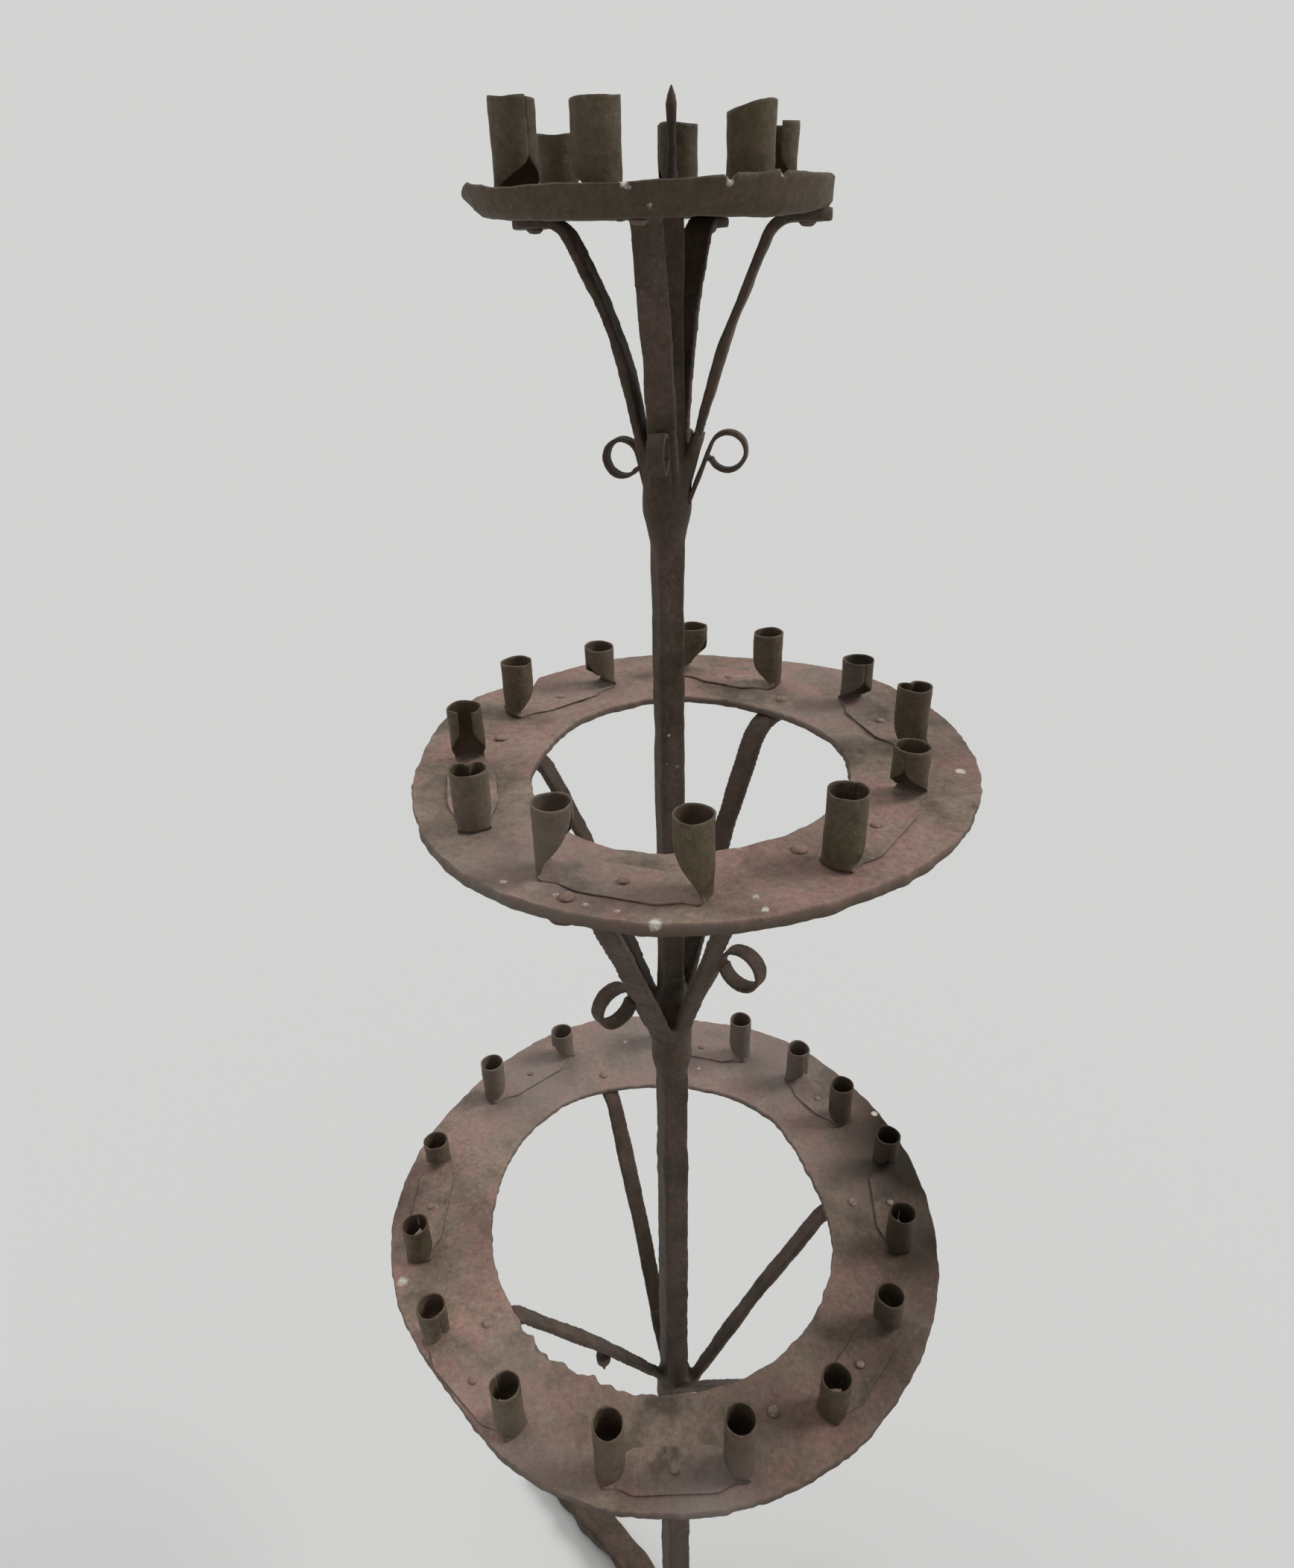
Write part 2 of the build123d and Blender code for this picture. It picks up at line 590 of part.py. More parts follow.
# Rings
middle_ring = ring(
    middle_centre,
    MIDDLE_SEAT_HEIGHT,
    (MIDDLE_OUTER_RADIUS, MIDDLE_RIM_BULGES),
    (MIDDLE_INNER_RADIUS, MIDDLE_HOLE_BULGES),
    middle_strut_spots,
    middle_strip_spots,
)
save(middle_ring.part, "middle_ring")
lower_ring = ring(
    lower_centre,
    LOWER_SEAT_HEIGHT,
    (LOWER_OUTER_RADIUS, LOWER_RIM_BULGES),
    (LOWER_INNER_RADIUS, LOWER_HOLE_BULGES),
    lower_strut_spots,
    lower_strip_spots,
)
save(lower_ring.part, "lower_ring")

# Socket pairs
for tier, pairs, base, edge, centre in (
    ("tray", TRAY_PAIRS, TRAY_FLOOR_HEIGHT, TRAY_FLOOR_RADIUS, tray_centre),
    ("middle", MIDDLE_PAIRS, MIDDLE_TOP_HEIGHT, MIDDLE_OUTER_RADIUS, middle_centre),
    ("lower", LOWER_PAIRS, LOWER_TOP_HEIGHT, LOWER_OUTER_RADIUS, lower_centre),
):
    for place, pair in pairs.items():
        heights = [height for _, _, height in pair]
        piece = socket_pair(socket_spots(pair, edge, centre), heights, base)
        save(piece.part, f"{tier}_socket_pair_{place}")

# Rivets: one row through the strut leaves and one through the socket strips of each tier
strut_rivet = (STRUT_RIVET_RADIUS, STRUT_RIVET_HEAD_RADIUS, STRUT_RIVET_HEAD_HEIGHT)
strip_rivet = (STRIP_RIVET_RADIUS, STRIP_RIVET_HEAD_RADIUS, STRIP_RIVET_HEAD_HEIGHT)
for tier, seat, plate_top, leaf_row, strip_row in (
    ("tray", TRAY_SEAT_HEIGHT, TRAY_FLOOR_HEIGHT, tray_strut_spots, tray_strip_spots),
    ("middle", MIDDLE_SEAT_HEIGHT, MIDDLE_TOP_HEIGHT, middle_strut_spots, middle_strip_spots),
    ("lower", LOWER_SEAT_HEIGHT, LOWER_TOP_HEIGHT, lower_strut_spots, lower_strip_spots),
):
    leaf_rivets = rivets(leaf_row, seat - STRUT_THICKNESS, plate_top, *strut_rivet)
    save(leaf_rivets.part, f"{tier}_strut_rivets")
    strip_rivets = rivets(strip_row, seat, plate_top + SOCKET_SHEET, *strip_rivet)
    save(strip_rivets.part, f"{tier}_strip_rivets")
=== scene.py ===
import json
import math

import bmesh
import bpy
import numpy as np
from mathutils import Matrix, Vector, noise


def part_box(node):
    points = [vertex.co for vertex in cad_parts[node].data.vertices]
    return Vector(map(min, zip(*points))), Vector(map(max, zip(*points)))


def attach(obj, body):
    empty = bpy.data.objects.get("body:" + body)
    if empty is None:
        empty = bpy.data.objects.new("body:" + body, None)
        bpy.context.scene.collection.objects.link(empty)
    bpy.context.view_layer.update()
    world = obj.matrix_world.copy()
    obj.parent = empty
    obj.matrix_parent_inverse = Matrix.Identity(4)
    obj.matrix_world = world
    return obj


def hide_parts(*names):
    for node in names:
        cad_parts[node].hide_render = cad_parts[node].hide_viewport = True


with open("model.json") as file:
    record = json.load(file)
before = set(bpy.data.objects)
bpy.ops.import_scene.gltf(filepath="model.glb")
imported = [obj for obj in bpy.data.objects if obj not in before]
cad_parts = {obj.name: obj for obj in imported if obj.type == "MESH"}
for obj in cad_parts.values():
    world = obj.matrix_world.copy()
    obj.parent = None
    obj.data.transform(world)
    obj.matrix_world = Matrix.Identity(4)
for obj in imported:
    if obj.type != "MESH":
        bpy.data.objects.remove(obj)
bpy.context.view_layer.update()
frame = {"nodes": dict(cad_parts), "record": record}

# A hand forged iron candle stand: hammered stem, struts, scrolls and legs, two hand-cut ring
# plates, a battered drip tray and rolled sheet sockets, all of old rusted iron.
# Sizes are in millimetres and turned into metres where a mesh is made. Azimuths turn from +X to +Y.
MM = 0.001
nodes = frame["nodes"]
mounts = {mount["name"]: mount for mount in frame["record"]["mounts"]}

# Camera: a standing viewer, looking down a little, in a frame of 1736 by 2103 pixels
FRAME_HEIGHT = 2103
FOCAL_PIXELS = 1265
SENSOR = 36
EYE = (-16.8, -620, 1747)
PITCH_DOWN = 28.79
ROLL = -1.21

# Ring plates: centre, nominal radius, width, and how far the cut edges stray from a circle by azimuth
MIDDLE_CENTRE = (17.5, -1.8)
MIDDLE_RIM_RADIUS = 203.5
MIDDLE_RING_WIDTH = 90.5
MIDDLE_RIM_BULGES = {
    5: 3, 45: 11, 75: -1, 102: 7, 125: 0, 150: 8, 180: -1, 225: 4, 260: 0, 295: -7, 330: -3,
}
MIDDLE_HOLE_BULGES = {
    0: -2, 30: -8, 55: -10, 95: -5, 135: -4, 170: -2, 205: 11, 240: 21, 275: 14, 305: 8, 335: 2,
}
LOWER_CENTRE = (-10.5, 3.2)
LOWER_RIM_RADIUS = 267.5
LOWER_RING_WIDTH = 96
LOWER_RIM_BULGES = {
    5: 0, 33: 4, 62: 10, 80: 6, 107: 16, 145: 4, 180: 1, 200: -6, 222: -16, 245: -6, 270: -3, 330: -1,
}
LOWER_HOLE_BULGES = {16: -14, 45: -5, 95: -7, 131: 4, 180: -2, 220: 0, 260: 5, 285: 5, 300: 5, 340: -2}

# Cut edges of the ring plates: how far they are eased, and the size of the plates' quads
PLATE_EASE = 1.1
PLATE_GRAIN = 2.6

# Ring plates' faults: a notch's azimuth, half width in degrees and depth, the azimuths between which a
# hole's edge is torn, and how far the front rims were beaten down
MIDDLE_NOTCH = (134, 5, 16)
LOWER_TORN = (218, 272)
MIDDLE_BURR = 3.5
LOWER_BURR = 2

# Drip tray: its wall was drawn up a little higher than the sheet was cut
TRAY_CENTRE = (-8, 0)
TRAY_FLOOR_RADIUS = 98.5
TRAY_RADIUS = 103
TRAY_SHEET = 2.5
TRAY_DRAWN_UP = 3

# Faults of the tray's wall by azimuth: a lip at the left, a split that slants up from its foot to the rim,
# and chips out of the rim with their half widths in degrees
TRAY_LIP = 181
TRAY_SPLIT_FOOT = 269.5
TRAY_SPLIT_RIM = 261.5
TRAY_CHIPS = ((291, 1.6), (308.4, 1.3))

# Pricket spike, from the stem's top to its leaf-shaped tip: radius and depth below the tip
SPIKE_OFFSET = 4
SPIKE_OUTLINE = (
    (0, 66), (5.5, 66), (5, 55), (4.2, 46), (3.1, 36), (2.3, 24), (2.1, 19), (3, 9), (2.4, 5), (0.9, 1),
    (0, 0),
)

# Rolled sockets: the sheet's thickness as it was cut, and what hammering left of it
SHEET = 1.5
THIN_WALL = 1.1
STRIP_HALF_WIDTH = 17
NECK_HALF_WIDTH = 11
FOLD_RADIUS = 4
QUILL_HEIGHT = 24

# Sockets that differ from a plain rolled tube: the height of the slanting cut at the foot, the gap of
# the seam, the slant of the top, the dip of the top on the outer side, how far the seam's edges curl in,
# and how many tube radii before the tube the strip starts to narrow
SOCKET_TRAITS = {
    "middle_front_socket_1": {"quill": 46},
    "middle_front_socket_2": {"quill": 50},
    "middle_left_socket_1": {"gap": 11, "quill": 30},
    "middle_left_socket_2": {"curl": 0.55, "neck": 2.8},
    "middle_right_socket_1": {"curl": 0.55},
    "middle_back_left_socket_2": {"quill": 34},
    "middle_back_socket_2": {"quill": 36},
    "middle_back_socket_1": {"quill": 32},
    "lower_front_right_socket_1": {"quill": 14, "gap": 0.2},
    "tray_front_left_socket_1": {"gap": 0, "dip": 2, "curl": 0},
    "tray_right_socket_1": {"slant": -2.5},
    "tray_right_socket_2": {"gap": 10},
}


def soft_step(value):
    """Eases from 0 to 1 as the value goes from 0 to 1."""
    value = min(max(value, 0), 1)
    return value * value * (3 - 2 * value)


def blend(low, high, share):
    """The value that lies a share of the way from low to high."""
    return low + (high - low) * share


def lumps(point, size, seed):
    """Soft noise from -1 to 1 at a point in metres, with lumps of about the given size in mm."""
    return noise.noise(Vector(point) / (size * MM) + Vector((seed * 7.31, seed * 3.17, seed * -5.73)))


def hammer(bm, seed, dents):
    """Dents a surface along its normals: each dent is a lump size and a depth in mm."""
    bm.normal_update()
    moves = []
    for vert in bm.verts:
        moves.append(sum(depth * lumps(vert.co, size, seed + k) for k, (size, depth) in enumerate(dents)))
    for vert, move in zip(bm.verts, moves):
        vert.co += vert.normal * (move * MM)


def stray(bulges, azimuth):
    """How far a hand-cut edge lies off its circle: a smooth closed curve through the bulges."""
    turns = list(bulges)
    count = len(turns)
    after = next((k for k, turn in enumerate(turns) if turn > azimuth), count)
    knots = []
    for k in range(after - 2, after + 2):
        laps, place = divmod(k, count)
        knots.append((turns[place] + 360 * laps, bulges[turns[place]]))
    (turn0, off0), (turn1, off1), (turn2, off2), (turn3, off3) = knots
    span = turn2 - turn1
    share = (azimuth - turn1) / span
    slope1 = (off2 - off0) / (turn2 - turn0) * span
    slope2 = (off3 - off1) / (turn3 - turn1) * span
    square, cube = share ** 2, share ** 3
    return (
        (2 * cube - 3 * square + 1) * off1
        + (cube - 2 * square + share) * slope1
        + (3 * square - 2 * cube) * off2
        + (cube - square) * slope2
    )


def warp(x, y, seed):
    """How far a hammered plate lies off flat, in mm, at a place in metres."""
    return 1.3 * lumps((x, y, 0), 140, seed) + 0.7 * lumps((x, y, 0), 45, seed + 1)


def divided(points, step):
    """The points of a closed outline with each run cut into pieces of about one step."""
    cut = []
    for start, end in zip(points, points[1:] + points[:1]):
        runs = max(1, round(math.dist(start, end) / step))
        for k in range(runs):
            cut.append((blend(start[0], end[0], k / runs), blend(start[1], end[1], k / runs)))
    return cut


def spun(outline, centre, steps):
    """A closed outline of (reach, height) points in mm, spun round an upright axis."""
    bm = bmesh.new()
    places = [(centre[0] + reach, centre[1], height) for reach, height in outline]
    verts = [bm.verts.new(Vector(place) * MM) for place in places]
    edges = [bm.edges.new(pair) for pair in zip(verts, verts[1:] + verts[:1])]
    bmesh.ops.spin(
        bm,
        geom=verts + edges,
        cent=(centre[0] * MM, centre[1] * MM, 0),
        axis=(0, 0, 1),
        angle=2 * math.pi,
        steps=steps,
        use_merge=True,
    )
    bmesh.ops.remove_doubles(bm, verts=bm.verts, dist=0.01 * MM)
    bmesh.ops.recalc_face_normals(bm, faces=bm.faces)
    return bm


def around(vert, centre):
    """The azimuth in degrees and the reach in mm of a vertex round a centre."""
    x, y = vert.co.x / MM - centre[0], vert.co.y / MM - centre[1]
    return math.degrees(math.atan2(y, x)) % 360, math.hypot(x, y)


def put(vert, centre, azimuth, reach):
    """Moves a vertex to an azimuth and a reach round a centre."""
    turn = math.radians(azimuth)
    vert.co.x = (centre[0] + reach * math.cos(turn)) * MM
    vert.co.y = (centre[1] + reach * math.sin(turn)) * MM


def join(bm, other):
    """Adds another mesh being built to this one."""
    part = bpy.data.meshes.new("part")
    other.to_mesh(part)
    other.free()
    bm.from_mesh(part)
    bpy.data.meshes.remove(part)


def finish_piece(bm, name, material, *replaced):
    """Turns a mesh being built into a piece of the stand that takes the place of its nodes."""
    mesh = bpy.data.meshes.new(name)
    bm.to_mesh(mesh)
    bm.free()
    mesh.shade_smooth()
    mesh.materials.append(material)
    piece = bpy.data.objects.new(name, mesh)
    bpy.context.scene.collection.objects.link(piece)
    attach(piece, "root")
    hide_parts(*replaced)
    return piece


def mark(piece, layer, spots):
    """Paints soft round spots on a piece: each is x, y, z, a radius in mm and a strength."""
    verts = piece.data.vertices
    places = np.empty(len(verts) * 3)
    verts.foreach_get("co", places)
    places = places.reshape(-1, 3) / MM
    amount = np.zeros(len(verts))
    for x, y, z, radius, strength in spots:
        near = 1 - np.linalg.norm(places - (x, y, z), axis=1) / radius
        amount = np.maximum(amount, strength * np.clip(near, 0, 1))
    piece.data.attributes.new(layer, "FLOAT", "POINT").data.foreach_set("value", amount)


def linear(hex_colour):
    """A linear colour from an sRGB hex value."""
    channels = [int(hex_colour[k : k + 2], 16) / 255 for k in (1, 3, 5)]
    return [c / 12.92 if c <= 0.04045 else ((c + 0.055) / 1.055) ** 2.4 for c in channels] + [1]


def add(tree, kind, inputs=None, **settings):
    """Adds a node with its settings, its values and its links."""
    node = tree.nodes.new(kind)
    for name, value in settings.items():
        setattr(node, name, value)
    for socket, value in (inputs or {}).items():
        if isinstance(value, bpy.types.NodeSocket):
            tree.links.new(value, node.inputs[socket])
        else:
            node.inputs[socket].default_value = value
    return node


# Rust on plates and strips: dull pink, brown and dusty in soft patches
RUST_DEEP = "#564a40"
RUST_BODY = "#8c7a6c"
RUST_BLOOM = "#997a70"
RUST_PALE = "#a09286"

# Colours laid on the iron in places: brown black for dark patches that are partly painted shadow, grey ash
# and white lime
SHADOW_AND_STAIN = "#2a2116"
ASH = "#847973"
LIME = "#d4cec2"


def old_iron(name, deep, body, bloom, olive, pale, worn, patch_size, shine):
    """Old forged iron: mottled oxide, fine grain, dust, pits and worn edges, with painted shade, dark
    patches and lime laid on in places.
    """
    material = bpy.data.materials.new(name)
    material.use_nodes = True
    tree = material.node_tree
    tree.nodes.clear()
    place = add(tree, "ShaderNodeTexCoord").outputs["Object"]
    drawn = add(tree, "ShaderNodeMapping", {"Vector": place, "Scale": (1, 1, 0.16)}).outputs["Vector"]
    shape = add(tree, "ShaderNodeNewGeometry")

    def cloud(size, detail, rough, where=place):
        inputs = {"Vector": where, "Scale": 1 / (size * MM), "Detail": detail, "Roughness": rough}
        return add(tree, "ShaderNodeTexNoise", inputs).outputs["Fac"]

    def ramp(value, *stops):
        node = add(tree, "ShaderNodeValToRGB", {"Fac": value})
        while len(node.color_ramp.elements) < len(stops):
            node.color_ramp.elements.new(1)
        for element, (position, colour) in zip(node.color_ramp.elements, stops):
            element.position = position
            element.color = linear(colour)
        return node.outputs["Color"]

    def mix(share, under, over, kind="MIX"):
        node = add(tree, "ShaderNodeMix", {0: share, 6: under, 7: over}, data_type="RGBA", blend_type=kind)
        return node.outputs[2]

    def layer(name):
        return add(tree, "ShaderNodeAttribute", attribute_name=name).outputs["Fac"]

    # Broad patches of oxide, olive in places, with streaks drawn out along the upright
    patches = cloud(patch_size, 5, 0.62)
    colour = ramp(patches, (0.3, deep), (0.45, body), (0.58, bloom), (0.7, body))
    damp = ramp(cloud(patch_size * 0.6, 5, 0.68), (0.5, "#000000"), (0.64, "#c8c8c8"))
    colour = mix(damp, colour, linear(olive))
    streaks = ramp(cloud(9, 3, 0.6, drawn), (0.3, "#aaaaaa"), (0.7, "#cccccc"))
    colour = mix(0.5, colour, streaks, "OVERLAY")
    scuffs = ramp(cloud(patch_size * 0.45, 6, 0.7), (0.54, "#000000"), (0.72, "#c8c8c8"))
    colour = mix(scuffs, colour, linear(pale))
    rust = ramp(patches, (0.3, RUST_DEEP), (0.45, RUST_BODY), (0.58, RUST_BLOOM), (0.7, RUST_BODY))
    rust = mix(scuffs, rust, linear(RUST_PALE))
    colour = mix(layer("rust"), colour, rust)

    # Fine grain, dust, scattered pits, dark hollows and edges worn a little brighter
    grain = cloud(4.5, 5, 0.75)
    colour = mix(0.6, colour, ramp(grain, (0.32, "#949494"), (0.68, "#dcdcdc")), "OVERLAY")
    specks = ramp(cloud(2.6, 3, 0.7), (0.55, "#000000"), (0.68, "#d0d0d0"))
    dusty = ramp(cloud(patch_size * 0.7, 4, 0.6), (0.44, "#000000"), (0.62, "#ffffff"))
    colour = mix(mix(1, specks, dusty, "MULTIPLY"), colour, linear(worn))
    pits = add(tree, "ShaderNodeTexVoronoi", {"Vector": place, "Scale": 1 / (6.5 * MM), "Randomness": 1})
    pit_mask = ramp(pits.outputs["Distance"], (0.1, "#ffffff"), (0.3, "#000000"))
    eaten = ramp(cloud(30, 2, 0.5), (0.58, "#000000"), (0.7, "#8c8c8c"))
    pitted = mix(1, pit_mask, eaten, "MULTIPLY")
    colour = mix(pitted, colour, linear(deep))
    hollows = ramp(shape.outputs["Pointiness"], (0.4, "#ffffff"), (0.49, "#000000"))
    colour = mix(hollows, colour, linear(deep))
    edges = ramp(shape.outputs["Pointiness"], (0.52, "#000000"), (0.6, "#a0a0a0"))
    rubbed = ramp(cloud(9, 3, 0.6), (0.4, "#000000"), (0.6, "#ffffff"))
    colour = mix(mix(1, edges, rubbed, "MULTIPLY"), colour, linear(worn))

    # Painted shade on the plates' sides and undersides, dark patches that are partly painted shadow, grey
    # ash and white lime, where they were painted on
    colour = mix(layer("side"), colour, linear(deep))
    colour = mix(layer("stain"), colour, linear(SHADOW_AND_STAIN))
    colour = mix(layer("ash"), colour, linear(ASH))
    crust = add(tree, "ShaderNodeMath", {0: layer("lime"), 1: cloud(2.5, 4, 0.7)}, operation="MULTIPLY")
    crust = ramp(crust.outputs[0], (0.14, "#000000"), (0.3, "#ffffff"))
    colour = mix(crust, colour, linear(LIME))

    # Hammered lumps and grain stand out, pits go in, and bare patches shine a little
    relief = add(tree, "ShaderNodeMath", {0: cloud(8, 4, 0.6), 1: 0.7}, operation="MULTIPLY").outputs[0]
    relief = add(tree, "ShaderNodeMath", {0: grain, 1: 0.3, 2: relief}, operation="MULTIPLY_ADD").outputs[0]
    relief = add(tree, "ShaderNodeMath", {0: relief, 1: pitted}, operation="SUBTRACT").outputs[0]
    bump = add(tree, "ShaderNodeBump", {"Height": relief, "Strength": 0.8, "Distance": 1.2 * MM})
    rough = add(tree, "ShaderNodeMapRange", {"Value": patches, "To Min": shine, "To Max": shine + 0.25})
    shader = add(tree, "ShaderNodeBsdfPrincipled", {
        "Base Color": colour,
        "Roughness": rough.outputs["Result"],
        "Normal": bump.outputs["Normal"],
        "Specular IOR Level": 0.22,
    })
    add(tree, "ShaderNodeOutputMaterial", {"Surface": shader.outputs[0]})
    return material


# Bars forged by hand: nearly black oxide with brown and olive patches, polished a little where touched
dark_wrought_iron = old_iron(
    "dark_wrought_iron",
    deep="#2c241d",
    body="#463a30",
    bloom="#56453d",
    olive="#3e3a2b",
    pale="#5a4e42",
    worn="#6d6256",
    patch_size=70,
    shine=0.55,
)
# Hand-cut plate, lying flat: a dull pinkish brown rust with pale wear along its edges
rusted_plate_iron = old_iron(
    "rusted_plate_iron",
    deep=RUST_DEEP,
    body=RUST_BODY,
    bloom=RUST_BLOOM,
    olive="#665b49",
    pale="#a09285",
    worn="#9c8d80",
    patch_size=70,
    shine=0.6,
)
# Thin rolled sheet: dark olive brown oxide, smoother than the bars
sheet_iron = old_iron(
    "sheet_iron",
    deep="#32291c",
    body="#564b38",
    bloom="#5d4e41",
    olive="#4e4a33",
    pale="#5f574a",
    worn="#7b7064",
    patch_size=40,
    shine=0.55,
)
# Hammered rivet heads: dark oxide, a little brighter on top where the hammer struck
rivet_iron = old_iron(
    "rivet_iron",
    deep="#33291f",
    body="#5f5046",
    bloom="#6d5850",
    olive="#524a3b",
    pale="#7b6d62",
    worn="#857a6f",
    patch_size=20,
    shine=0.55,
)


def slab(node, low, high):
    """A copy of a node's mesh between two heights in mm, closed where it is cut."""
    bm = bmesh.new()
    bm.from_mesh(nodes[node].data)
    bmesh.ops.remove_doubles(bm, verts=bm.verts, dist=0.001 * MM)
    for height, upward in ((low, -1), (high, 1)):
        cut = bmesh.ops.bisect_plane(
            bm,
            geom=bm.verts[:] + bm.edges[:] + bm.faces[:],
            plane_co=(0, 0, height * MM),
            plane_no=(0, 0, upward),
            clear_outer=True,
        )
        rim = [item for item in cut["geom_cut"] if isinstance(item, bmesh.types.BMEdge)]
        if rim:
            bmesh.ops.holes_fill(bm, edges=rim)
    return bm


def even_quads(bm, grain):
    """The same closed forms as one skin of even quads, of about the grain's size in mm."""
    rough = bpy.data.meshes.new("rough")
    bm.to_mesh(rough)
    blank = bpy.data.objects.new("blank", rough)
    bpy.context.scene.collection.objects.link(blank)
    remesh = blank.modifiers.new("even quads", "REMESH")
    remesh.mode = "VOXEL"
    remesh.voxel_size = grain * MM
    even = bpy.data.meshes.new_from_object(blank.evaluated_get(bpy.context.evaluated_depsgraph_get()))
    bpy.data.objects.remove(blank)
    bm.clear()
    bm.from_mesh(even)


# Heights in mm that no piece reaches
BELOW_FLOOR = -10
ABOVE_TOP = 4000


def forged(
    node, grain, soften, dents, seed, material, low=BELOW_FLOOR, high=ABOVE_TOP, welded=(), tip=None
):
    """A hammered copy of a piece between two heights: even quads, softened edges and dents.

    The welded pieces are other nodes, each with the range of heights in mm that flows into this one, and
    the tip is a mesh of its own that is set on afterwards.
    """
    bm = slab(node, low, high)
    for foot in welded:
        join(bm, slab(*foot))
    even_quads(bm, grain)
    axes = {"use_axis_x": True, "use_axis_y": True, "use_axis_z": True}
    for _ in range(soften):
        bmesh.ops.smooth_vert(bm, verts=bm.verts, factor=0.5, **axes)
    if tip:
        join(bm, tip)
    hammer(bm, seed, dents)
    return finish_piece(bm, f"{node}_forged", material, node)


# Dents of the hammer on each kind of piece: lump size and depth
BAR_DENTS = ((60, 0.9), (22, 0.8), (7, 0.35))
STEM_DENTS = ((110, 1.2), (38, 1.0), (14, 0.6), (5, 0.25))
UPPER_STEM_DENTS = ((110, 0.9), (38, 0.8), (14, 0.4), (5, 0.15))
LEG_DENTS = ((70, 4.5), (30, 3.4), (12, 1.3))
STRAP_DENTS = ((30, 0.5), (10, 0.3))
RIVET_DENTS = ((5, 0.4), (2.5, 0.2))

# Struts and scrolls flow into the stem at their welds: its skin takes in their feet between these heights.
# Above them each strut goes on as its own piece, which starts a little lower than the feet end.
WELDS = {
    "lower_strut": (590, 695),
    "middle_strut": (1125, 1245),
    "middle_scroll": (1110, 1190),
    "tray_strut": (1585, 1655),
}
WELD_OVERLAP = 14
STEM_JOINT = (1155, 1225)
welds = {"lower_stem": [("upper_stem_with_pricket", *STEM_JOINT)], "upper_stem_with_pricket": []}
for name in sorted(nodes):
    kind = "_".join(name.split("_")[:2])
    if kind in WELDS and "rivets" not in name:
        stem = "upper_stem_with_pricket" if kind == "tray_strut" else "lower_stem"
        welds[stem].append((name, *WELDS[kind]))

# The stem, with a spike drawn out of its top above the tray and a thin line of lime down its front
spike_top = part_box("upper_stem_with_pricket")[1].z / MM
spike_outline = [(radius, spike_top - depth) for radius, depth in SPIKE_OUTLINE]
spike = spun(divided(spike_outline, 1.2)[:-1], (SPIKE_OFFSET, 0), 20)
tray_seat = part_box("drip_tray")[0].z / MM
forged("lower_stem", 2, 6, STEM_DENTS, 1, dark_wrought_iron, welded=welds["lower_stem"])
upper_stem = forged(
    "upper_stem_with_pricket",
    1.5,
    4,
    UPPER_STEM_DENTS,
    2,
    dark_wrought_iron,
    high=tray_seat + 1,
    welded=welds["upper_stem_with_pricket"],
    tip=spike,
)
mark(upper_stem, "lime", [
    (7, -11, 1425, 5, 1), (0, -11, 1451, 3, 0.8), (3, -12, 1561, 2.2, 1), (3.7, -12, 1557, 2, 0.9),
    (4.4, -12, 1552, 2, 1), (5, -12, 1547, 2, 0.9), (5.5, -12, 1543, 2.4, 1), (6, -12, 1539, 3, 1.1),
])

# A thorn torn out of the left lower strut's edge, pointing down: place, and radius by height
THORN_PLACE = (-74.5, -48.4)
THORN_OUTLINE = ((0, 760), (8, 760), (7.5, 752), (4, 745), (1.6, 739), (0.5, 734), (0, 734))

# Rust over all the rivets of a ring
RUST_ALL_OVER = (0, 0, 1200, 4000, 1)

seed = 1
for name in sorted(nodes):
    seed += 1
    kind = "_".join(name.split("_")[:2])
    low = WELDS[kind][1] - WELD_OVERLAP if kind in WELDS else BELOW_FLOOR
    if name.endswith("_rivets"):
        heads = forged(name, 0.7, 2, RIVET_DENTS, seed, rivet_iron)
        mark(heads, "rust", [] if name.startswith("tray") else [RUST_ALL_OVER])
    elif name.endswith("_leg"):
        forged(name, 2.5, 4, LEG_DENTS, seed, dark_wrought_iron)
    elif "_strut_" in name:
        thorn = None
        if name == "lower_strut_left":
            thorn = spun(divided(list(THORN_OUTLINE), 1.5)[:-1], THORN_PLACE, 14)
        forged(name, 1.5, 2, BAR_DENTS, seed, dark_wrought_iron, low=low, tip=thorn)
    elif "_scroll_" in name:
        forged(name, 0.8, 2, STRAP_DENTS, seed, dark_wrought_iron, low=low)


